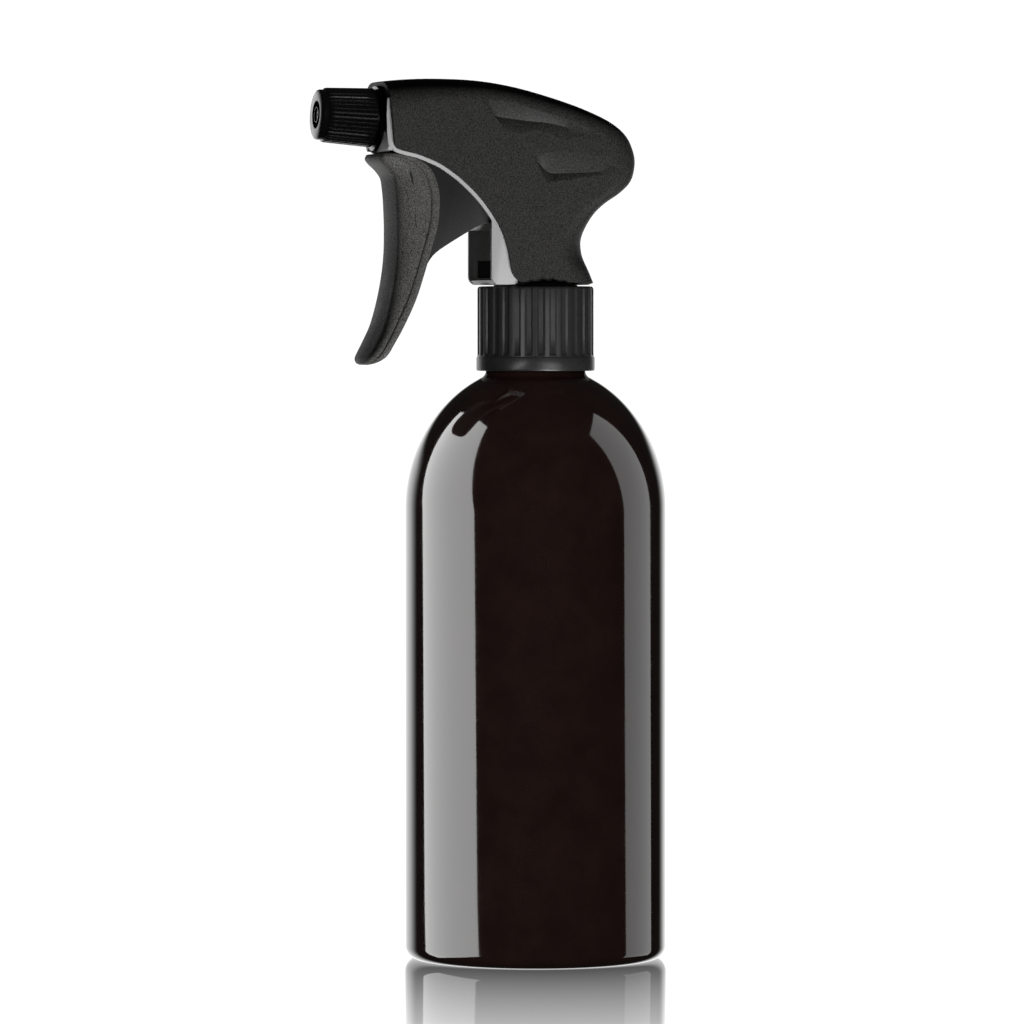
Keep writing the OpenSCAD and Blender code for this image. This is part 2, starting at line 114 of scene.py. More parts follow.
# turns a profile of (radius, height) round Z; a radius of 0 makes a pole,
# and change(angle, radius, height) gives a point's own radius
def turned(profile, count, closed=False, change=None):
    verts = []
    rings = []
    for r, z in profile:
        if r < 1e-6:
            rings.append([len(verts)])
            verts.append(Vector((0, 0, z * mm)))
            continue
        rings.append(list(range(len(verts), len(verts) + count)))
        for i in range(count):
            a = 2 * math.pi * i / count
            q = change(a, r, z) if change else r
            verts.append(Vector((q * math.cos(a) * mm, q * math.sin(a) * mm, z * mm)))
    faces = []
    pairs = list(zip(rings, rings[1:]))
    if closed:
        pairs.append((rings[-1], rings[0]))
    for low, high in pairs:
        for i in range(count):
            j = (i + 1) % count
            if len(low) == 1:
                faces.append((low[0], high[j], high[i]))
            elif len(high) == 1:
                faces.append((low[i], low[j], high[0]))
            else:
                faces.append((low[i], low[j], high[j], high[i]))
    return verts, faces


# joins rows of points into a skin; each row may close on itself, and the ends may be filled
def skin(rows, closed=False, capEnds=False):
    n = len(rows[0])
    verts = [p for row in rows for p in row]
    faces = []
    for k in range(len(rows) - 1):
        for i in range(n if closed else n - 1):
            j = (i + 1) % n
            faces.append((k * n + i, k * n + j, (k + 1) * n + j, (k + 1) * n + i))
    if capEnds:
        faces.append(tuple(range(n))[::-1])
        faces.append(tuple((len(rows) - 1) * n + i for i in range(n)))
    return verts, faces


def joined(*parts):
    verts = []
    faces = []
    for partVerts, partFaces in parts:
        start = len(verts)
        verts += partVerts
        faces += [tuple(i + start for i in f) for f in partFaces]
    return verts, faces


# a screw ridge that fades out at both ends; a negative height points inwards
def ridge(radius, height, pitch, turns, root, crest, low, steps=40):
    start = math.radians(7)
    fade = 5
    sunk = 0.3
    count = round(turns * steps)
    foot = radius - math.copysign(sunk, height)
    rows = []
    for i in range(count + 1):
        a = start + 2 * math.pi * i / steps
        z = low + pitch * i / steps
        top = radius + height * max(0.1, min(1, i / fade, (count - i) / fade))
        section = [(foot, -root / 2), (top, -crest / 2), (top, crest / 2), (foot, root / 2)]
        rows.append([Vector((q * math.cos(a) * mm, q * math.sin(a) * mm, (z + d) * mm)) for q, d in section])
    return skin(rows, closed=True, capEnds=True)


# a wire coil standing on z = 0
def coil(radius, wire, length, turns):
    steps = 24
    sides = 10
    rows = []
    for i in range(turns * steps + 1):
        a = 2 * math.pi * i / steps
        z = wire + (length - 2 * wire) * i / (turns * steps)
        ring = []
        for j in range(sides):
            b = 2 * math.pi * j / sides
            q = radius + wire * math.cos(b)
            ring.append(Vector((q * math.cos(a), q * math.sin(a), z + wire * math.sin(b))) * mm)
        rows.append(ring)
    return skin(rows, closed=True, capEnds=True)


# an outline in the Y-Z plane made into a plate between two x values
def sidePlate(outline, low, high):
    rows = [[headPoint(x, y, z) for y, z in outline] for x in (low, high)]
    return skin(rows, closed=True, capEnds=True)


def placed(part, matrix):
    return [matrix @ v for v in part[0]], part[1]


def addPiece(name, part, sharp=32):
    mesh = bpy.data.meshes.new(name)
    mesh.from_pydata(part[0], [], part[1])
    bm = bmesh.new()
    bm.from_mesh(mesh)
    bmesh.ops.remove_doubles(bm, verts=bm.verts, dist=1e-6)
    bmesh.ops.recalc_face_normals(bm, faces=bm.faces)
    bm.to_mesh(mesh)
    bm.free()
    piece = bpy.data.objects.new(name, mesh)
    bpy.context.scene.collection.objects.link(piece)
    setShading(piece, sharp)
    return piece


def setShading(piece, sharp):
    piece.data.shade_smooth()
    piece.data.set_sharp_from_angle(angle=math.radians(sharp))


def applyModifiers(piece):
    bpy.context.view_layer.update()
    graph = bpy.context.evaluated_depsgraph_get()
    mesh = bpy.data.meshes.new_from_object(piece.evaluated_get(graph))
    piece.modifiers.clear()
    piece.data = mesh


def addBevel(piece, width, segments=2, angle=40):
    bevel = piece.modifiers.new("edge", "BEVEL")
    bevel.width = width * mm
    bevel.segments = segments
    bevel.limit_method = "ANGLE"
    bevel.angle_limit = math.radians(angle)
    bevel.harden_normals = False
    applyModifiers(piece)


def settle(piece, body, slot, nodes=()):
    piece.data.materials.clear()
    piece.data.materials.append(finishes[slot])
    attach(piece, body)
    if nodes:
        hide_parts(*nodes)


# grain and depth: the texture's cells and relief in millimetres; mottle: how far the colour varies;
# rough: least and most, over large patches; shine: the strength of the reflection
finishValues = {
    "bottle_plastic": dict(colour=(0.021, 0.010, 0.0085), rough=(0.04, 0.08), grain=9.0, depth=0.01,
                           mottle=0.2, shine=0.5),
    "closure_black": dict(colour=(0.018, 0.018, 0.018), rough=(0.30, 0.40), grain=0.5, depth=0.008,
                          mottle=0.3, shine=0.34),
    "grained_black": dict(colour=(0.034, 0.033, 0.032), rough=(0.50, 0.62), grain=0.34, depth=0.05,
                          mottle=0.95, shine=0.2),
    "body_grey": dict(colour=(0.50, 0.50, 0.50), rough=(0.42, 0.52), grain=0.5, depth=0.008,
                      mottle=0.05, shine=0.4),
    "nozzle_black": dict(colour=(0.012, 0.012, 0.012), rough=(0.14, 0.22), grain=0.8, depth=0.006,
                         mottle=0.2, shine=0.42),
    "natural_plastic": dict(colour=(0.72, 0.72, 0.67), rough=(0.34, 0.44), grain=0.6, depth=0.008,
                            mottle=0.05, shine=0.5),
    "seal_rubber": dict(colour=(0.05, 0.05, 0.05), rough=(0.6, 0.75), grain=0.3, depth=0.02,
                        mottle=0.3, shine=0.4),
    "gasket_foam": dict(colour=(0.66, 0.66, 0.62), rough=(0.75, 0.9), grain=0.25, depth=0.05,
                        mottle=0.1, shine=0.3),
    "spring_steel": dict(colour=(0.56, 0.57, 0.59), rough=(0.18, 0.3), grain=0.3, depth=0.004,
                         mottle=0.1, shine=0.5),
    "ball_glass": dict(colour=(0.80, 0.86, 0.84), rough=(0.03, 0.06), grain=1.0, depth=0.002,
                       mottle=0.02, shine=0.5),
}
noiseSpan = (0.3, 0.7)  # where nearly all of a noise texture's values lie
wearScale = 60  # patches of wear, counted in one metre
glassIor = 1.5


# spreads a noise texture between two values
def spread(nodes, low, high):
    span = nodes.new("ShaderNodeMapRange")
    span.inputs["From Min"].default_value = noiseSpan[0]
    span.inputs["From Max"].default_value = noiseSpan[1]
    span.inputs["To Min"].default_value = low
    span.inputs["To Max"].default_value = high
    return span


def makeFinish(name, v):
    material = bpy.data.materials.new(name)
    material.use_nodes = True
    nodes = material.node_tree.nodes
    links = material.node_tree.links
    shader = nodes["Principled BSDF"]
    place = nodes.new("ShaderNodeTexCoord")
    grain = nodes.new("ShaderNodeTexNoise")
    grain.inputs["Scale"].default_value = 1 / (v["grain"] * mm)
    grain.inputs["Detail"].default_value = 3
    grain.inputs["Roughness"].default_value = 0.6
    links.new(place.outputs["Object"], grain.inputs["Vector"])
    wear = nodes.new("ShaderNodeTexNoise")
    wear.inputs["Scale"].default_value = wearScale
    wear.inputs["Detail"].default_value = 5
    links.new(place.outputs["Object"], wear.inputs["Vector"])

    tone = spread(nodes, 1 - v["mottle"], 1 + v["mottle"])
    links.new(grain.outputs["Fac"], tone.inputs["Value"])
    colour = nodes.new("ShaderNodeMix")
    colour.data_type = "RGBA"
    colour.blend_type = "MULTIPLY"
    colour.inputs["Factor"].default_value = 1
    colour.inputs["A"].default_value = (*v["colour"], 1)
    links.new(tone.outputs["Result"], colour.inputs["B"])
    links.new(colour.outputs["Result"], shader.inputs["Base Color"])

    rough = spread(nodes, *v["rough"])
    links.new(wear.outputs["Fac"], rough.inputs["Value"])
    links.new(rough.outputs["Result"], shader.inputs["Roughness"])

    bump = nodes.new("ShaderNodeBump")
    bump.inputs["Strength"].default_value = 1
    bump.inputs["Distance"].default_value = v["depth"] * mm
    links.new(grain.outputs["Fac"], bump.inputs["Height"])
    links.new(bump.outputs["Normal"], shader.inputs["Normal"])
    shader.inputs["Specular IOR Level"].default_value = v["shine"]
    if name == "spring_steel":
        shader.inputs["Metallic"].default_value = 1
    if name == "ball_glass":
        shader.inputs["Transmission Weight"].default_value = 0.85
        shader.inputs["IOR"].default_value = glassIor
    return material


finishes = {name: makeFinish(name, v) for name, v in finishValues.items()}
# a darker copy of closure_black for the trigger's plates: painted shade for where they sit under the cover's
# edge
shadedWebBlack = makeFinish("shaded_web_black", dict(
    finishValues["closure_black"], colour=(0.010, 0.010, 0.010), rough=(0.5, 0.6)))
# a lighter copy of grained_black for the trigger's blade: painted light for how brightly it is lit
litTriggerBlack = makeFinish("lit_trigger_black", dict(
    finishValues["grained_black"], colour=(0.095, 0.093, 0.090)))
for part in frame["record"]["subparts"]:
    mesh = frame["nodes"][part["node"]].data
    mesh.materials.clear()
    mesh.materials.append(finishes[part["material_slot"]])
print("finishes:", len(finishes))


# the bottle: base, barrel, dome, neck and thread in one turned shape
threadPitch = 4.23  # shared by the neck and the closure
threadTurns = 1.5
bottleValues = dict(barrel=120.5, dome=38.7, wall=1.0, floor=1.4, foot=3.5, neck=12.75, bore=10.8,
                    fillet=2.5, filletReach=1.85, threadLow=-9.8, threadHeight=0.95, threadRoot=2.2,
                    threadCrest=1.1, pushUp=0.9, pushUpRadius=27)


def makeBottle(v):
    r = bottleRadius
    top = neckTop / mm
    join = v["neck"] + v["filletReach"]
    joinAngle = math.acos(join / r)
    rise = math.atan2(v["dome"] * math.cos(joinAngle), -r * math.sin(joinAngle))
    filletX = join + v["fillet"] * math.sin(rise)
    filletZ = v["barrel"] + v["dome"] * math.sin(joinAngle) - v["fillet"] * math.cos(rise)

    def side(t):
        foot = arc(r - v["foot"], v["foot"], v["foot"] - t, -90, 0, 10)
        walls = [(r - t, mix(v["foot"], v["barrel"], i / 8)) for i in range(1, 8)]
        angles = [joinAngle * i / 36 for i in range(37)]
        dome = [((r - t) * math.cos(a), v["barrel"] + (v["dome"] - t) * math.sin(a)) for a in angles]
        return foot + walls + dome

    pushUp = v["pushUp"]
    ring = v["pushUpRadius"]
    bore = v["bore"]
    under = [(0, pushUp), (ring - 2, pushUp), (ring, pushUp - 0.25), (ring + 1.6, 0.1), (ring + 2.2, 0)]
    fillet = arc(filletX, filletZ, v["fillet"], math.degrees(rise) + 90, 180, 8)
    rim = [(filletX - v["fillet"], filletZ + 0.8), (v["neck"], filletZ + 1.6), (v["neck"], top - 0.5),
           (v["neck"] - 0.15, top - 0.15), (v["neck"] - 0.5, top), (bore + 0.3, top), (bore, top - 0.3)]
    inside = [(bore, filletZ)]
    inside += [p for p in reversed(side(v["wall"])) if p[1] > v["floor"] + 0.7 and p[0] > bore + 3]
    inside += [(r - v["foot"], v["floor"] + 0.6), (ring, v["floor"] + pushUp), (0, v["floor"] + pushUp)]
    body = turned(under + side(0) + fillet + rim + inside, 144)
    thread = ridge(v["neck"], v["threadHeight"], threadPitch, threadTurns, v["threadRoot"],
                   v["threadCrest"], top + v["threadLow"])
    piece = addPiece("bottleShell", joined(body, thread), 40)
    settle(piece, "bottle", "bottle_plastic", ["bottle"])


makeBottle(bottleValues)
print("bottle: done")


# the ribbed closure with its inner lip and thread
collarValues = dict(low=-17.6, top=5.0, radius=15.6, bandRadius=15.85, bandHeight=3.8, ribs=30,
                    grooveDepth=0.42, edge=0.16, bore=14.35, lipRadius=11.6, lipLow=2.7, threadLow=-11.9,
                    threadHeight=1.25, threadRoot=1.6, threadCrest=0.8)


def makeCollar(v):
    low = v["low"]
    band = low + v["bandHeight"]
    top = v["top"]
    wide = v["bandRadius"]
    r = v["radius"]
    lip = v["lipRadius"]
    profile = [(v["bore"], low), (v["bore"] + 0.3, low), (wide - 0.45, low), (wide - 0.13, low + 0.13),
               (wide, low + 0.45), (wide, band - 0.4), (wide - 0.08, band - 0.12)]
    profile += [(r, band + rise) for rise in (0, 0.25, 0.6, 1.1)]
    profile += [(r, mix(band + 1.1, top - 0.9, i / 4)) for i in range(1, 5)]
    profile += [(r - 0.06, top - 0.55), (r - 0.24, top - 0.24), (r - 0.55, top - 0.06), (r - 0.95, top),
                (lip + 0.2, top), (lip, top - 0.2), (lip, v["lipLow"]), (v["bore"], v["lipLow"])]

    # flat-topped ribs and grooves of equal width, which run out just above the band
    def cut(angle, q, z):
        if q < r - 1 or z < band + 0.2:
            return q
        phase = abs((angle * v["ribs"] / (2 * math.pi)) % 1 - 0.5)
        share = ease((phase - 0.25 + v["edge"] / 2) / v["edge"])
        return q - v["grooveDepth"] * share * ease((z - band - 0.2) / 0.8)

    shell = turned(profile, v["ribs"] * 16, closed=True, change=cut)
    thread = ridge(v["bore"], -v["threadHeight"], threadPitch, threadTurns, v["threadRoot"],
                   v["threadCrest"], v["threadLow"])
    lift = Matrix.Translation((0, 0, neckTop))
    piece = addPiece("collarShell", placed(joined(shell, thread), lift), 28)
    settle(piece, "collar", "closure_black", ["collar"])


makeCollar(collarValues)
print("collar: done")


# the cover over the head, open in front and below
# each row: a point of the front and lower edge, and the point of the back line it is joined to
shroudRows = [((-8.2, 6.1), (14.4, 5.9)), ((-10, 8.2), (12.9, 9.6)), ((-10.7, 11.6), (11.8, 13.6)),
              ((-11.4, 14.8), (11.5, 17.2)), ((-12.4, 18), (12.4, 20.8)), ((-13.7, 20.8), (14.4, 24.2)),
              ((-15, 23), (17.6, 27.2)), ((-16.5, 25.2), (21.8, 30)), ((-18.4, 27.6), (24.9, 33.2)),
              ((-20.3, 29.7), (26, 37.4)), ((-22.3, 31.6), (25.6, 41)), ((-24.6, 33.6), (23.6, 45.2)),
              ((-27.1, 35.4), (19.5, 48.7)), ((-29.8, 37.1), (13, 51.8)), ((-33, 38.5), (4.4, 54.8)),
              ((-36, 39.6), (-7.1, 57.9)), ((-38.6, 40.2), (-18, 59.6)), ((-40.6, 40.7), (-29.5, 60)),
              ((-41.9, 41.2), (-38, 59.7)), ((-42.6, 42), (-44.2, 59.1))]
shroudValues = dict(half=12.5, wall=1.3, cornerWidth=9.5, cornerDepth=8.0, topSquareness=2.4,
                    waistSquareness=1.5, waistLow=8, waistHigh=24, gillDepth=1.15, gillWall=2.2,
                    gillRise=0.3, gillSteps=30)
# each recess lies between an upper line, where it starts flush, and a lower one, where it is deepest
gills = [
    dict(upper=[(-18.6, 53.9), (-12.1, 53.5), (-4.2, 51.8), (5.5, 49), (15.1, 45.1)],
         lower=[(-13.9, 48.3), (-12.5, 47.5), (-5.8, 46.7), (0.6, 46.1), (9, 44.8), (13.5, 44.7)]),
    dict(upper=[(-4.4, 40.2), (1.6, 40.2), (7.6, 40), (17.4, 37.9), (20.2, 36.4)],
         lower=[(-2.8, 36.2), (-0.8, 33.2), (3.4, 33.1), (11.8, 34.2), (20.2, 35.6)]),
]


def alongLine(line, t):
    place = min(max(t, 0.0), 1.0) * (len(line) - 1)
    i = min(int(place), len(line) - 2)
    return [mix(a, b, place - i) for a, b in zip(line[i], line[i + 1])]


# a section from the front edge to the back line, squarer above than at the waist
def shroudSection(front, back, v):
    span = math.hypot(back[0] - front[0], back[1] - front[1])
    waist = ease((v["waistHigh"] - back[1]) / 8) * ease((back[1] - v["waistLow"]) / 6)
    power = mix(v["topSquareness"], v["waistSquareness"], waist)
    half = v["half"]
    wide = v["cornerWidth"]
    deep = min(v["cornerDepth"], span - 2)
    right = [(half, span - deep - (span - deep) * (1 - i / 8)) for i in range(8)]
    for i in range(17):
        a = math.pi / 2 * i / 16
        x = half - wide + wide * math.cos(a) ** (2 / power)
        q = span - deep + deep * math.sin(a) ** (2 / power)
        right.append((x, q))
    left = [(-x, q) for x, q in reversed(right)]
    u = [(back[0] - front[0]) / span, (back[1] - front[1]) / span]
    return [headPoint(x, front[0] + u[0] * q, front[1] + u[1] * q) for x, q in right + left]


# a shallow cut: its floor leaves the skin at the upper line and falls to the foot of a sloped lower wall
def gillCutter(gill, tree, v, sideSign):
    upper = smoothLine(gill["upper"], 6)
    lower = smoothLine(gill["lower"], 6)
    count = v["gillSteps"]
    beside = 40
    outerX = 16
    rows = []

    def surface(p):
        hit = tree.ray_cast(headPoint(beside * sideSign, *p), Vector((-sideSign, 0, 0)))
        return abs(hit[0].x) / mm

    for i in range(count + 1):
        t = i / count
        up = alongLine(upper, t)
        low = alongLine(lower, t)
        apart = max(math.hypot(up[0] - low[0], up[1] - low[1]), 0.01)
        wall = min(v["gillWall"], apart * 0.45) / apart
        foot = [mix(a, b, wall) for a, b in zip(low, up)]
        start = ease((t + 0.02) / 0.16)
        end = 1 - 0.97 * ease((t - 0.3) / 0.75)
        upX = surface(up)
        lowX = surface(low)
        footX = surface(foot) - v["gillDepth"] * start * end
        past = 1 + v["gillRise"]
        upOut = (mix(footX, upX, past), *[mix(a, b, past) for a, b in zip(foot, up)])
        lowOut = (mix(footX, lowX, past), *[mix(a, b, past) for a, b in zip(foot, low)])
        section = [upOut, (footX, *foot), lowOut, (outerX, *lowOut[1:]), (outerX, *upOut[1:])]
        rows.append([headPoint(x * sideSign, y, z) for x, y, z in section])
    return skin(rows, closed=True, capEnds=True)


def makeShroud(v):
    fronts = smoothLine([a for a, b in shroudRows], 4)
    backs = smoothLine([b for a, b in shroudRows], 4)
    rows = [shroudSection(a, b, v) for a, b in zip(fronts, backs)]
    piece = addPiece("shroudShell", skin(rows), 30)
    middle = headPoint(0, -10, 35)  # faces have to look away from it
    if sum(p.area * p.normal.dot(p.center - middle) for p in piece.data.polygons) < 0:
        piece.data.flip_normals()
    thick = piece.modifiers.new("wall", "SOLIDIFY")
    thick.thickness = v["wall"] * mm
    thick.offset = -1
    thick.use_even_offset = True
    thick.use_quality_normals = True
    applyModifiers(piece)
    tree = BVHTree.FromObject(piece, bpy.context.evaluated_depsgraph_get())
    for gill in gills:
        for sideSign in (1, -1):
            cutter = addPiece("gillCutter", gillCutter(gill, tree, v, sideSign))
            cut = piece.modifiers.new("gill", "BOOLEAN")
            cut.operation = "DIFFERENCE"
            cut.solver = "EXACT"
            cut.use_self = True
            cut.object = cutter
            applyModifiers(piece)
            bpy.data.objects.remove(cutter)
    bm = bmesh.new()
    bm.from_mesh(piece.data)
    bmesh.ops.remove_doubles(bm, verts=bm.verts, dist=2e-6)
    bmesh.ops.dissolve_degenerate(bm, edges=bm.edges, dist=1e-6)
    bm.to_mesh(piece.data)
    bm.free()
    setShading(piece, 30)
    settle(piece, "head", "grained_black", ["shroud"])


makeShroud(shroudValues)
print("shroud: done")


# the light body under the cover
pumpUp = 27.0  # the height of the pump's axis, and of the trigger's bar at rest
bodyValues = dict(plateOut=11.0, plateIn=10.0, strip=0.85, stripEnd=-43.0, columnFront=-15.6, low=5.4,
                  cornerRadius=2.2, troughRadius=10.0, troughTop=20.4, windowLow=7.2, windowHigh=11.9,
                  windowFront=-13.2, windowBack=-9.0, sheetGap=0.05, plinthBack=6.8, plinthHeight=1.2,
                  pumpRadius=7.2, pumpBore=6.2, pumpFront=-19.5, pumpBack=-2.0, pumpFloor=-4.6,
                  riserRadius=4.2, riserTop=52.2, studHole=2.05, nozzleBack=-43.6, nozzleUp=49.45)
# the panel behind the nozzle: heights are counted from the nozzle's axis
bezelValues = dict(thick=1.2, crownRadius=6.5, crownUp=1.5, footRadius=1.5, footUp=-7.1, boxHalf=9.7,
                   boxLow=-8.6, boxHigh=-2.4, boxBack=-3.0, pocketHalf=8.9, pocketLow=-9.6, pocketHigh=-3.4,
                   pocketBack=-2.2)
spoutThread = dict(radius=4.5, height=0.7, pitch=2.0, turns=2.5, root=0.9, crest=0.4, low=2.0, steps=32)
# two stiffening ribs beside the riser, one across and one along
ribBoxes = [((-10.1, -3, 10.4), (10.1, 0, 42.4)), ((-0.8, -17.8, 33.4), (0.8, 0, 46))]
# (radius, height) of the stem and flange, of the valve chambers in the riser, and of the spout
stemProfile = [(3.9, -12), (4.9, -12), (5.2, -11.7), (5.2, 1.2), (13.4, 1.2), (13.6, 1.4), (13.6, 2.3),
               (13.4, 2.5), (11.2, 2.5), (11.2, 5.9)]
chamberProfile = [(2.9, 49.6), (2.5, 49.6), (2.5, 36), (1.6, 36), (1.6, 3.2), (2.5, 3.2), (2.5, -2),
                  (3.9, -2)]
spoutProfile = [(1.5, -43), (3.2, -43), (3.2, -0.6), (4.5, -0.6), (4.5, 8.2), (4.2, 8.5), (3.2, 8.5),
                (3.2, 12.6), (3.0, 12.8), (1.5, 12.8)]


# a box between two corners, counted from the top of the neck
def boxPart(low, high):
    verts = [headPoint(x, y, z) for z in (low[2], high[2]) for x, y in
             ((low[0], low[1]), (high[0], low[1]), (high[0], high[1]), (low[0], high[1]))]
    faces = [(3, 2, 1, 0), (4, 5, 6, 7), (0, 1, 5, 4), (1, 2, 6, 5), (2, 3, 7, 6), (3, 0, 4, 7)]
    return verts, faces


# an outline in a matrix's own X-Y plane, made into a slab between two depths
def slab(outline, back, front, matrix):
    rows = [[matrix @ (Vector((x, y, z)) * mm) for x, y in outline] for z in (back, front)]
    return skin(rows, closed=True, capEnds=True)


# cuts one part's shape out of a piece, or joins it on
def carve(piece, part, operation="DIFFERENCE"):
    tool = addPiece("tool", part)
    step = piece.modifiers.new("step", "BOOLEAN")
    step.operation = operation
    step.solver = "EXACT"
    step.object = tool
    applyModifiers(piece)
    bpy.data.objects.remove(tool)


# a full circle as an outline
def roundLine(x, y, r):
    return arc(x, y, r, 0, 360, 32)[:-1]


# an outline in the X-Y plane made into a solid between two heights
def upright(outline, heights):
    rows = [[headPoint(x, y, z) for x, y in outline] for z in heights]
    return skin(rows, closed=True, capEnds=True)


# the shroud's front edge, moved outwards by the width of the strip that shows beside it
def stripLine(width):
    line = smoothLine([a for a, b in shroudRows], 4)
    moved = []
    for i, p in enumerate(line):
        before = line[max(0, i - 1)]
        after = line[min(len(line) - 1, i + 1)]
        d = (after[0] - before[0], after[1] - before[1])
        size = math.hypot(*d)
        moved.append((p[0] - d[1] / size * width, p[1] + d[0] / size * width))
    return moved


# one side wall of the body: column, strip along the cover's edge, nozzle end and the hidden inner edge
def cheekOutline(v):
    front = v["columnFront"]
    r = v["cornerRadius"]
    corner = arc(front + r, v["low"] + r, r, 270, 180, 8)
    edge = [p for p in stripLine(v["strip"]) if v["stripEnd"] < p[0] < front]
    top = [(-43.6, 41.2), (-44.2, 42.6), (-44.45, 45), (-44.6, 50), (-44.4, 54.4)]
    inside = [(-38, 56), (-20, 54), (-8, 49), (2, 46), (2, v["low"])]
    column = [(front, mix(v["low"] + r, edge[0][1] - 0.4, i / 3)) for i in (1, 2, 3)]
    return corner + column + edge + top + inside


def makeTrough(v):
    front = v["columnFront"]
    low = v["low"]
    radius = v["troughRadius"]
    outer = arc(0, front + 0.02, v["plateOut"] - 0.01, 0, 180, 36)
    inner = arc(0, front + 0.02, radius, 180, 0, 36)
    trough = addPiece("trough", upright(outer + inner, (low + 0.3, v["troughTop"])), 30)
    corner = [(front - 1, low - 1), (front + 3, low - 1)]
    corner += arc(front + v["cornerRadius"], low + v["cornerRadius"], v["cornerRadius"], 270, 180, 8)
    corner += [(front - 1, low + 4)]
    carve(trough, sidePlate(corner, -12, 12))
    angles = [math.degrees(math.asin((y - front) / radius)) for y in (v["windowFront"], v["windowBack"])]
    # dark sheets fill each window just behind the trough's wall: painted shade for the dark openings
    sheetHeights = (v["windowLow"] + v["sheetGap"], v["windowHigh"] - v["sheetGap"])
    shadeSheets = []
    for sideSign in (-1, 1):
        within, sheetBack, beyond = [[(x * sideSign, y) for x, y in arc(0, front, radius + step, *angles, 6)]
                                    for step in (-0.6, 0.25, 0.6)]
        carve(trough, upright(within + beyond[::-1], (v["windowLow"], v["windowHigh"])))
        shadeSheets.append(upright(sheetBack + beyond[::-1], sheetHeights))
    settle(addPiece("ventFlaps", joined(*shadeSheets)), "head", "seal_rubber")
    return trough


def makePlinth(v):
    low = v["low"]
    front = v["columnFront"]
    high = low + v["plinthHeight"]
    outline = [(front + 1.4, low), (v["plinthBack"], low), (v["plinthBack"], high), (front + 0.3, high)]
    half = v["plateOut"] - 0.02
    plinth = addPiece("plinth", sidePlate(outline, -half, half), 30)
    carve(plinth, upright(roundLine(0, 0, v["riserRadius"] - 0.6), (low - 1, low + 3)))
    return plinth


# a tube that lies along Y, closed at the back, with a floor inside
def makePump(v):
    turnY = Matrix.Translation(headPoint(0, 0, pumpUp)) @ Matrix.Rotation(-math.pi / 2, 4, "X")
    r = v["pumpRadius"]
    bore = v["pumpBore"]
    front = v["pumpFront"]
    back = v["pumpBack"]
    tube = [(0, back), (r - 0.4, back), (r, back - 0.4), (r, front + 0.3), (r - 0.3, front),
            (bore + 0.25, front), (bore, front + 0.25), (bore, v["pumpFloor"]), (0, v["pumpFloor"])]
    return addPiece("pump", placed(turned(tube, 64), turnY), 30)


def makeRiser(v):
    r = v["riserRadius"]
    pipe = [(r, stemProfile[-1][1]), (r, v["riserTop"]), (chamberProfile[0][0], v["riserTop"])]
    profile = stemProfile + pipe + chamberProfile
    riser = turned(profile, 64, closed=True)
    return addPiece("riser", placed(riser, Matrix.Translation((0, 0, neckTop))), 30)


def makeRibs(v):
    ribs = addPiece("ribs", joined(*[boxPart(low, high) for low, high in ribBoxes]), 30)
    carve(ribs, upright(roundLine(0, 0, v["riserRadius"] - 0.5), (2, 60)))
    return ribs


# the nozzle's own directions: across, up and out along its axis
def nozzleMatrix(v):
    out = Vector(joints["nozzle_turn"]["axis"]).normalized()
    across = Vector((1, 0, 0))
    up = out.cross(across)
    up = up if up.z > 0 else -up
    matrix = Matrix((across, up, out)).transposed().to_4x4()
    matrix.translation = headPoint(0, v["nozzleBack"], v["nozzleUp"])
    return matrix


def oblong(half, low, high):
    return [(-half, low), (half, low), (half, high), (-half, high)]


# a panel with a round crown, and a box behind its lower half that holds the pocket
def makeBezel(half, v, matrix):
    crown = v["crownRadius"]
    foot = v["footRadius"]
    panel = arc(half - crown, v["crownUp"], crown, 0, 90, 10)
    panel += arc(-half + crown, v["crownUp"], crown, 90, 180, 10)
    panel += arc(-half + foot, v["footUp"], foot, 180, 270, 5)
    panel += arc(half - foot, v["footUp"], foot, 270, 360, 5)
    bezel = addPiece("bezel", slab(panel, -v["thick"], 0, matrix), 30)
    box = oblong(v["boxHalf"], v["boxLow"], v["boxHigh"])
    carve(bezel, slab(box, v["boxBack"], -0.4, matrix), "UNION")
    pocket = oblong(v["pocketHalf"], v["pocketLow"], v["pocketHigh"])
    carve(bezel, slab(pocket, v["pocketBack"], 1, matrix))
    return bezel


def makeSpout(matrix):
    thread = ridge(**spoutThread)
    return addPiece("nose", placed(joined(turned(spoutProfile, 48, closed=True), thread), matrix), 30)


def makeBody(v):
    outline = cheekOutline(v)
    cheeks = addPiece("bodyFrame", sidePlate(outline, v["plateIn"], v["plateOut"]), 30)
    carve(cheeks, sidePlate(outline, -v["plateOut"], -v["plateIn"]), "UNION")
    trough = makeTrough(v)
    plinth = makePlinth(v)
    pump = makePump(v)
    riser = makeRiser(v)
    ribs = makeRibs(v)
    matrix = nozzleMatrix(v)
    bezel = makeBezel(v["plateOut"] + 0.02, bezelValues, matrix)
    nose = makeSpout(matrix)
    pivot = joints["trigger_squeeze"]["pos_m"]
    for sideSign in (1, -1):  # holes for the trigger's studs
        hole = roundLine(pivot[1] / mm, (pivot[2] - neckTop) / mm, v["studHole"])
        carve(cheeks, sidePlate(hole, *sorted((sideSign * 9, sideSign * 12))))
    for part, width in ((cheeks, 0.22), (trough, 0.15), (plinth, 0.2), (bezel, 0.25), (ribs, 0.2)):
        addBevel(part, width, 2, 50)
    meshes = []
    for part in (cheeks, trough, plinth, pump, riser, ribs, bezel, nose):
        verts = [vertex.co.copy() for vertex in part.data.vertices]
        meshes.append((verts, [tuple(face.vertices) for face in part.data.polygons]))
        bpy.data.objects.remove(part)
    settle(addPiece("bodyFrame", joined(*meshes), 30), "head", "body_grey", ["sprayer_body"])


makeBody(bodyValues)
print("body: done")


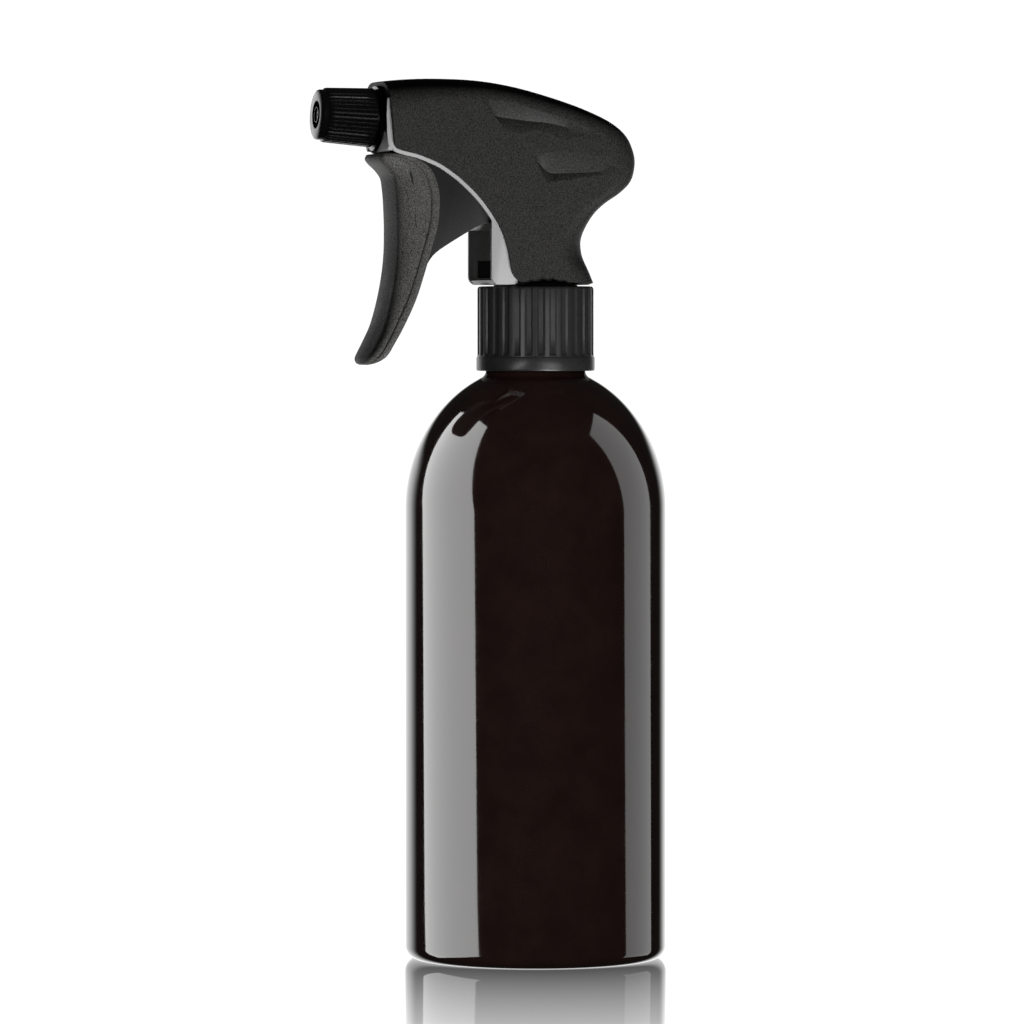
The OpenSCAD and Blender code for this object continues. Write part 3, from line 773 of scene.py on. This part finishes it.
# the trigger: a hollow blade and the two plates that carry it
# each row: a point of the blade's front, the point of its rear rim it is joined to, and the width's share
bladeRows = [((-45.2, 39.7), (-44.2, 40.1), 0.9), ((-45.9, 38.8), (-41.6, 40.0), 0.97),
             ((-45.3, 37.6), (-37.8, 39.4), 1), ((-43.4, 35.8), (-34.2, 38.0), 1),
             ((-41.8, 33.7), (-31.6, 35.6), 1), ((-41.3, 31.0), (-30.2, 32.6), 1),
             ((-41.0, 28), (-29.5, 29.2), 1), ((-40.8, 24), (-29.5, 24.6), 1),
             ((-40.7, 20), (-30.1, 20.4), 1), ((-40.8, 14), (-31.8, 14.4), 1),
             ((-41.4, 8), (-33.7, 8), 1), ((-42.6, 1.6), (-36.0, 1.2), 1),
             ((-44.4, -5), (-39.2, -5.6), 1), ((-46.4, -9.4), (-41.8, -10.2), 1),
             ((-48.1, -12.5), (-43.6, -13.3), 0.95), ((-49.0, -14.2), (-45.2, -14.8), 0.84),
             ((-49.0, -15.4), (-46.6, -15.6), 0.62), ((-48.5, -15.9), (-47.6, -15.95), 0.34)]
triggerValues = dict(half=9.6, frontHalf=6.2, frontSag=0.3, wall=1.5, corner=7.4, squareness=2.1,
                     rimWidth=2.2, rimStep=0.3, grooveWidth=0.5, plateOut=9.1, plateIn=7.8, studRadius=2.0,
                     studEnd=10.95, barRadius=1.4, barHalf=8.6, barLean=10, eye=4.4)
webLow = [(-33, 10.5), (-30.4, 13.8), (-23.7, 18.1), (-18.4, 21), (-14.4, 21.8)]
webBack = [(-14, 22.4), (-14.8, 27), (-18.6, 35), (-24.4, 42), (-27.4, 46)]
webFront = [(-38.6, 38), (-36.5, 30), (-36, 12)]


# front, rounded side, groove and rim, and back along the hollow; x across, q from the front to the rear
def bladeSection(front, rear, share, v):
    span = math.hypot(rear[0] - front[0], rear[1] - front[1])
    body = v["half"] - v["rimStep"]
    rim = min(v["rimWidth"], span * 0.4)
    corner = min(v["corner"], span - rim - 0.3)
    flat = v["frontHalf"]
    sag = v["frontSag"]
    power = 2 / v["squareness"]
    right = [(flat * i / 4, sag * (i / 4) ** 2) for i in range(4)]
    for i in range(15):
        a = math.pi / 2 * i / 14
        x = mix(flat, body, math.sin(a) ** power)
        q = sag + (corner - sag) * (1 - math.cos(a) ** power)
        right.append((x, q))
    groove = min(v["grooveWidth"], span * 0.08)
    rimStart = span - rim
    wide = v["half"]
    right += [(body, mix(corner, rimStart - groove, 0.5)), (body, rimStart - groove),
              (body - 0.18, rimStart - groove * 0.5), (wide - 0.12, rimStart), (wide, rimStart + 0.2),
              (wide, span - 0.5), (wide - 0.15, span - 0.15), (wide - 0.5, span)]
    # the hollow behind it, back from the rear edge to the middle
    wall = min(v["wall"], span * 0.4)
    inner = wide - wall
    deep = max(corner, wall + 0.2)
    hollow = [(inner, span), (inner, mix(deep, span, 0.6)), (inner, mix(deep, span, 0.25))]
    for i in range(9):
        a = math.pi / 2 * (1 - i / 9)
        x = inner * math.sin(a) ** power
        hollow.append((x, wall + (deep - wall) * (1 - math.cos(a) ** power)))
    hollow.append((0, wall))
    half = right + hollow
    loop = half + [(-x, q) for x, q in reversed(half[1:-1])]
    u = [(rear[0] - front[0]) / span, (rear[1] - front[1]) / span]
    return [headPoint(x * share, front[0] + u[0] * q, front[1] + u[1] * q) for x, q in loop]


# two plates with a stud each, and the bar between them that pushes the piston
def makeArms(v):
    pivot = joints["trigger_squeeze"]["pos_m"]
    pivotY = pivot[1] / mm
    pivotUp = (pivot[2] - neckTop) / mm
    outline = smoothLine(webLow, 5) + smoothLine(webBack, 4)
    outline += arc(pivotY, pivotUp, v["eye"], 60, 180, 12) + webFront
    within = v["plateIn"]
    beyond = v["plateOut"]
    parts = [sidePlate(outline, within, beyond), sidePlate(outline, -beyond, -within)]
    stud = v["studRadius"]
    profile = [(0, within), (stud, within), (stud, v["studEnd"] - 0.3),
               (stud - 0.3, v["studEnd"]), (0, v["studEnd"])]
    for sideSign in (1, -1):
        turn = Matrix.Translation(pivot) @ Matrix.Rotation(sideSign * math.pi / 2, 4, "Y")
        parts.append(placed(turned(profile, 32), turn))
    lean = math.radians(v["barLean"])
    arm = (pivotUp - pumpUp) / math.cos(lean)
    half = v["barHalf"]
    bar = [(0, -half), (v["barRadius"], -half), (v["barRadius"], half), (0, half)]
    middle = headPoint(0, pivotY - arm * math.sin(lean), pumpUp)
    parts.append(placed(turned(bar, 24), Matrix.Translation(middle) @ Matrix.Rotation(math.pi / 2, 4, "Y")))
    arms = addPiece("triggerArms", joined(*parts), 35)
    addBevel(arms, 0.25)
    setShading(arms, 35)
    return arms


def makeTrigger(v):
    fronts = smoothLine([row[0] for row in bladeRows], 4)
    rears = smoothLine([row[1] for row in bladeRows], 4)
    shares = smoothLine([(row[2],) for row in bladeRows], 4)
    sections = [bladeSection(a, b, c[0], v) for a, b, c in zip(fronts, rears, shares)]
    blade = addPiece("triggerBlade", skin(sections, closed=True, capEnds=True), 35)
    arms = makeArms(v)
    settle(blade, "trigger", "grained_black", ["trigger"])
    blade.data.materials[0] = litTriggerBlack  # a lighter copy of the shroud's finish, painted light for how brightly the blade is lit
    settle(arms, "trigger", "closure_black")
    # the plates take the darker copy, which is painted shade
    arms.data.materials[0] = shadedWebBlack


makeTrigger(triggerValues)
print("trigger: done")


# the nozzle's cap
nozzleValues = dict(back=0.5, front=17.3, flange=8.65, flangeLength=1.1, backRadius=7.95, frontRadius=7.15,
                    ribs=36, grooveDepth=0.32, ribStart=2.3, ribEnd=15.3, lipRadius=6.95, bore=5.7, seat=3.0,
                    recessOuter=3.6, recessInner=2.15, recess=1.6, insertBore=1.9)


def makeNozzle(v):
    back = v["back"]
    front = v["front"]

    def barrel(z):
        return mix(v["backRadius"], v["frontRadius"], (z - back) / (front - back))

    flange = v["flange"]
    flangeEnd = back + v["flangeLength"]
    ribStart = v["ribStart"]
    ribEnd = v["ribEnd"]
    lip = v["lipRadius"]
    outer = v["recessOuter"]
    inner = v["recessInner"]
    floor = front - v["recess"]
    profile = [(v["bore"], back), (flange - 0.2, back), (flange, back + 0.2), (flange, flangeEnd - 0.2),
               (flange - 0.2, flangeEnd), (barrel(flangeEnd) - 0.35, flangeEnd + 0.05),
               (barrel(ribStart - 0.1) - 0.35, ribStart - 0.1), (barrel(ribStart), ribStart + 0.05),
               (barrel(ribStart + 0.4), ribStart + 0.4)]
    profile += [(barrel(z), z) for z in (5, 8, 11, 14, ribEnd - 0.4)]
    profile += [(barrel(ribEnd) - 0.1, ribEnd), (barrel(ribEnd) - 0.4, ribEnd + 0.15),
                (lip - 0.25, ribEnd + 0.5), (lip - 0.25, front - 0.6), (lip - 0.4, front - 0.22),
                (lip - 0.8, front), (outer + 0.15, front), (outer, front - 0.15), (outer, floor),
                (inner, floor), (inner, front - 0.15), (inner - 0.15, front), (v["insertBore"], front),
                (v["insertBore"], 12.9), (v["seat"], 12.9), (v["seat"], 10.6), (v["bore"], 10.2)]

    # rounded ribs with narrow grooves between them
    def cut(angle, r, z):
        if not ribStart < z < ribEnd + 0.05 or r < barrel(z) - 0.3:
            return r
        phase = (angle * v["ribs"] / (2 * math.pi)) % 1
        hollow = math.cos(math.pi * phase) ** 8
        fade = ease((z - ribStart - 0.05) / 0.4) * ease((ribEnd - z + 0.3) / 0.5)
        return r - v["grooveDepth"] * hollow * fade

    turn = joints["nozzle_turn"]
    lean = Vector(turn["axis"]).to_track_quat("Z", "Y").to_matrix().to_4x4()
    shell = turned(profile, v["ribs"] * 12, closed=True, change=cut)
    piece = addPiece("nozzleCap", placed(shell, Matrix.Translation(turn["pos_m"]) @ lean), 32)
    settle(piece, "nozzle", "nozzle_black", ["nozzle_cap"])


makeNozzle(nozzleValues)
print("nozzle: done")


# the pump's spring and the valve's, each with a mesh of its own
springValues = dict(pumpRadius=3.6, pumpWire=0.4, pumpTurns=6, valveWire=0.25, valveTurns=7)


def makePumpSpring(v):
    low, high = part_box("return_spring")
    centreUp = (low.z + high.z) / 2
    place = Matrix.Translation((0, low.y, centreUp)) @ Matrix.Rotation(-math.pi / 2, 4, "X")
    wire = coil(v["pumpRadius"], v["pumpWire"], (high.y - low.y) / mm, v["pumpTurns"])
    piece = addPiece("pumpSpring", placed(wire, place), 60)
    settle(piece, "head", "spring_steel", ["return_spring"])
    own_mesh(piece)


def makeValveSpring(v):
    low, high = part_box("discharge_spring")
    radius = (high.x - low.x) / mm / 2 - v["valveWire"]
    wire = coil(radius, v["valveWire"], (high.z - low.z) / mm, v["valveTurns"])
    piece = addPiece("valveSpring", placed(wire, Matrix.Translation((0, 0, low.z))), 60)
    settle(piece, "head", "spring_steel", ["discharge_spring"])
    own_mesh(piece)


makePumpSpring(springValues)
makeValveSpring(springValues)
print("springs: done")


# angles are in degrees, seen from above; a light's side is its angle from the line towards the camera
cameraValues = dict(azimuth=72.5, distance=1.69, eye=0.167, aim=(-0.0019, -0.0060, 0.1196), lens=221.9)
# the floor's glow by distance from the middle is a painted shadow around the object
floorValues = dict(radius=0.5, rough=0.03, colour=(0.10, 0.098, 0.096), ior=1.5, steps=96,
                   paintedShadow=((0.0, 0.05), (0.07, 0.085), (0.15, 0.2), (0.32, 0.44), (0.45, 0.85), (1.0, 1.05)))
worldValues = dict(back=1.65, dim=0.02, softShare=0.25, turn=0.1, width=(0.70, 0.90), height=(0.13, 0.26),
                   seen=1.05)
panelValues = {
    "leftStrip": dict(side=-89, span=60, distance=0.62, low=-0.30, high=0.9, radiance=6.4),
    "rightStrip": dict(side=98, span=36, distance=0.62, low=-0.30, high=0.9, radiance=1.9),
}
# only: the one piece that a light reaches, or None for all but the bottle and the nozzle's cap;
# mirrored: whether it may show as a reflection
keyValues = {
    "keySide": dict(side=32, distance=1.1, width=0.36, low=-1.0, high=-0.45, radiance=42.0, only=None,
                    mirrored=True),
    "keyBack": dict(side=172, distance=1.3, width=0.7, low=0.0, high=0.7, radiance=7.0, only=None,
                    mirrored=False),
    "keyFar": dict(side=-118, distance=1.3, width=0.5, low=-0.1, high=0.5, radiance=3.0, only=None,
                   mirrored=False),
    "collarLeft": dict(side=-31, distance=1.1, width=0.10, low=-0.30, high=0.30, radiance=16.0,
                       only="collarShell", mirrored=True),
    "collarRight": dict(side=30, distance=1.1, width=0.10, low=-0.30, high=0.30, radiance=16.0,
                        only="collarShell", mirrored=True),
    "nozzleLine": dict(side=35, distance=1.1, width=0.34, low=0.21, high=0.32, radiance=24.0,
                       only="nozzleCap", mirrored=True),
    "bottleSoft": dict(side=0, distance=1.1, width=0.6, low=-0.2, high=0.7, radiance=4.2,
                       only="bottleShell", mirrored=False),
}
sight = math.radians(cameraValues["azimuth"])
toCamera = Vector((math.sin(sight), -math.cos(sight), 0))
toRight = Vector((math.cos(sight), math.sin(sight), 0))


def makeCamera(v):
    camera = bpy.data.objects.new("camera", bpy.data.cameras.new("camera"))
    bpy.context.scene.collection.objects.link(camera)
    camera.location = toCamera * v["distance"] + Vector((0, 0, v["eye"]))
    direction = Vector(v["aim"]) - camera.location
    camera.rotation_euler = direction.to_track_quat("-Z", "Y").to_euler()
    camera.data.lens = v["lens"]
    camera.data.sensor_width = 36
    camera.data.clip_end = 50
    bpy.context.scene.camera = camera


# a glossy round floor whose glow is a painted shadow: darker close to the object and fading into white at
# its edge
def makeFloor(v):
    radius = v["radius"]
    steps = v["steps"]
    edge = [(x, y, 0) for x, y in arc(0, 0, radius, 0, 360, steps)[:-1]]
    floor = addPiece("floor", (edge, [tuple(range(steps))]))
    material = bpy.data.materials.new("floorGloss")
    material.use_nodes = True
    nodes = material.node_tree.nodes
    links = material.node_tree.links
    shader = nodes["Principled BSDF"]
    shader.inputs["Base Color"].default_value = (*v["colour"], 1)
    shader.inputs["Roughness"].default_value = v["rough"]
    shader.inputs["IOR"].default_value = v["ior"]
    shader.inputs["Emission Strength"].default_value = 1
    place = nodes.new("ShaderNodeTexCoord")
    far = nodes.new("ShaderNodeVectorMath")
    far.operation = "LENGTH"
    links.new(place.outputs["Object"], far.inputs[0])
    share = nodes.new("ShaderNodeMath")
    share.operation = "DIVIDE"
    share.inputs[1].default_value = radius
    links.new(far.outputs["Value"], share.inputs[0])
    # painted shadow: the glow rises from dark near the object to white at the floor's edge
    paintedShadow = nodes.new("ShaderNodeValToRGB")
    while len(paintedShadow.color_ramp.elements) < len(v["paintedShadow"]):
        paintedShadow.color_ramp.elements.new(0.5)
    for element, (where, glow) in zip(paintedShadow.color_ramp.elements, v["paintedShadow"]):
        element.position = where
        element.color = (glow, glow, glow, 1)
    links.new(share.outputs["Value"], paintedShadow.inputs["Fac"])
    links.new(paintedShadow.outputs["Color"], shader.inputs["Emission Color"])
    floor.data.materials.append(material)
    floor.visible_glossy = False  # the bottle's reflections stay unbroken down to its base
    floor.visible_diffuse = False
    floor.visible_shadow = False


# a smooth step from one value to another
def stepNode(nodes, span, before, after):
    step = nodes.new("ShaderNodeMapRange")
    step.interpolation_type = "SMOOTHSTEP"
    step.inputs["From Min"].default_value = span[0]
    step.inputs["From Max"].default_value = span[1]
    step.inputs["To Min"].default_value = before
    step.inputs["To Max"].default_value = after
    return step


# white low down behind the object, dim elsewhere; what the camera sees past the floor is white
def makeWorld(v):
    world = bpy.data.worlds.new("studio")
    bpy.context.scene.world = world
    world.use_nodes = True
    nodes = world.node_tree.nodes
    links = world.node_tree.links
    background = nodes["Background"]
    background.inputs["Color"].default_value = (1, 1, 1, 1)
    place = nodes.new("ShaderNodeTexCoord")
    facing = nodes.new("ShaderNodeVectorMath")
    facing.operation = "DOT_PRODUCT"
    facing.inputs[1].default_value = (-toCamera - toRight * v["turn"]).normalized()
    links.new(place.outputs["Generated"], facing.inputs[0])
    behind = stepNode(nodes, v["width"], 0, v["back"])
    links.new(facing.outputs["Value"], behind.inputs["Value"])
    split = nodes.new("ShaderNodeSeparateXYZ")
    links.new(place.outputs["Generated"], split.inputs["Vector"])
    above = stepNode(nodes, v["height"], 1, 0)
    links.new(split.outputs["Z"], above.inputs["Value"])
    light = nodes.new("ShaderNodeMath")
    light.operation = "MULTIPLY_ADD"
    light.inputs[2].default_value = v["dim"]
    links.new(behind.outputs["Result"], light.inputs[0])
    links.new(above.outputs["Result"], light.inputs[1])
    ray = nodes.new("ShaderNodeLightPath")
    seen = nodes.new("ShaderNodeMix")
    seen.data_type = "FLOAT"
    seen.inputs["B"].default_value = v["seen"]
    soft = nodes.new("ShaderNodeMath")
    soft.operation = "MULTIPLY_ADD"
    soft.inputs[1].default_value = v["softShare"] - 1
    soft.inputs[2].default_value = 1
    links.new(ray.outputs["Is Diffuse Ray"], soft.inputs[0])
    given = nodes.new("ShaderNodeMath")
    given.operation = "MULTIPLY"
    links.new(soft.outputs["Value"], given.inputs[0])
    links.new(light.outputs["Value"], given.inputs[1])
    links.new(ray.outputs["Is Camera Ray"], seen.inputs["Factor"])
    links.new(given.outputs["Value"], seen.inputs["A"])
    links.new(seen.outputs["Result"], background.inputs["Strength"])


# an upright rectangle that faces the middle of the object
def addLight(name, width, v):
    angle = math.radians(v["side"])
    height = v["high"] - v["low"]
    out = toCamera * math.cos(angle) + toRight * math.sin(angle)
    light = bpy.data.objects.new(name, bpy.data.lights.new(name, "AREA"))
    light.data.shape = "RECTANGLE"
    light.data.size = width
    light.data.size_y = height
    light.data.energy = v["radiance"] * math.pi * width * height
    bpy.context.scene.collection.objects.link(light)
    light.location = out * v["distance"] + Vector((0, 0, v["low"] + height / 2))
    light.rotation_euler = (-out).to_track_quat("-Z", "Z").to_euler()
    light.visible_camera = False
    return light


def lightOnly(light, pieces):
    group = bpy.data.collections.new(light.name + "Pieces")
    for piece in pieces:
        group.objects.link(piece)
    light.light_linking.receiver_collection = group


# strips that only show as reflections in the bottle, and soft lights for all the rest
def makeLights():
    bottle = bpy.data.objects["bottleShell"]
    nozzle = bpy.data.objects["nozzleCap"]
    others = [p for p in bpy.context.scene.objects if p.type == "MESH" and p not in (bottle, nozzle)]
    for name, v in panelValues.items():
        width = 2 * v["distance"] * math.tan(math.radians(v["span"] / 2))
        strip = addLight(name, width, v)
        strip.visible_diffuse = False
        lightOnly(strip, [bottle])
    for name, v in keyValues.items():
        key = addLight(name, v["width"], v)
        lightOnly(key, [bpy.data.objects[v["only"]]] if v["only"] else others)
        key.visible_glossy = v["mirrored"]


makeCamera(cameraValues)
makeFloor(floorValues)
makeWorld(worldValues)
makeLights()
bpy.context.scene.view_settings.view_transform = "Standard"
print("studio: done")
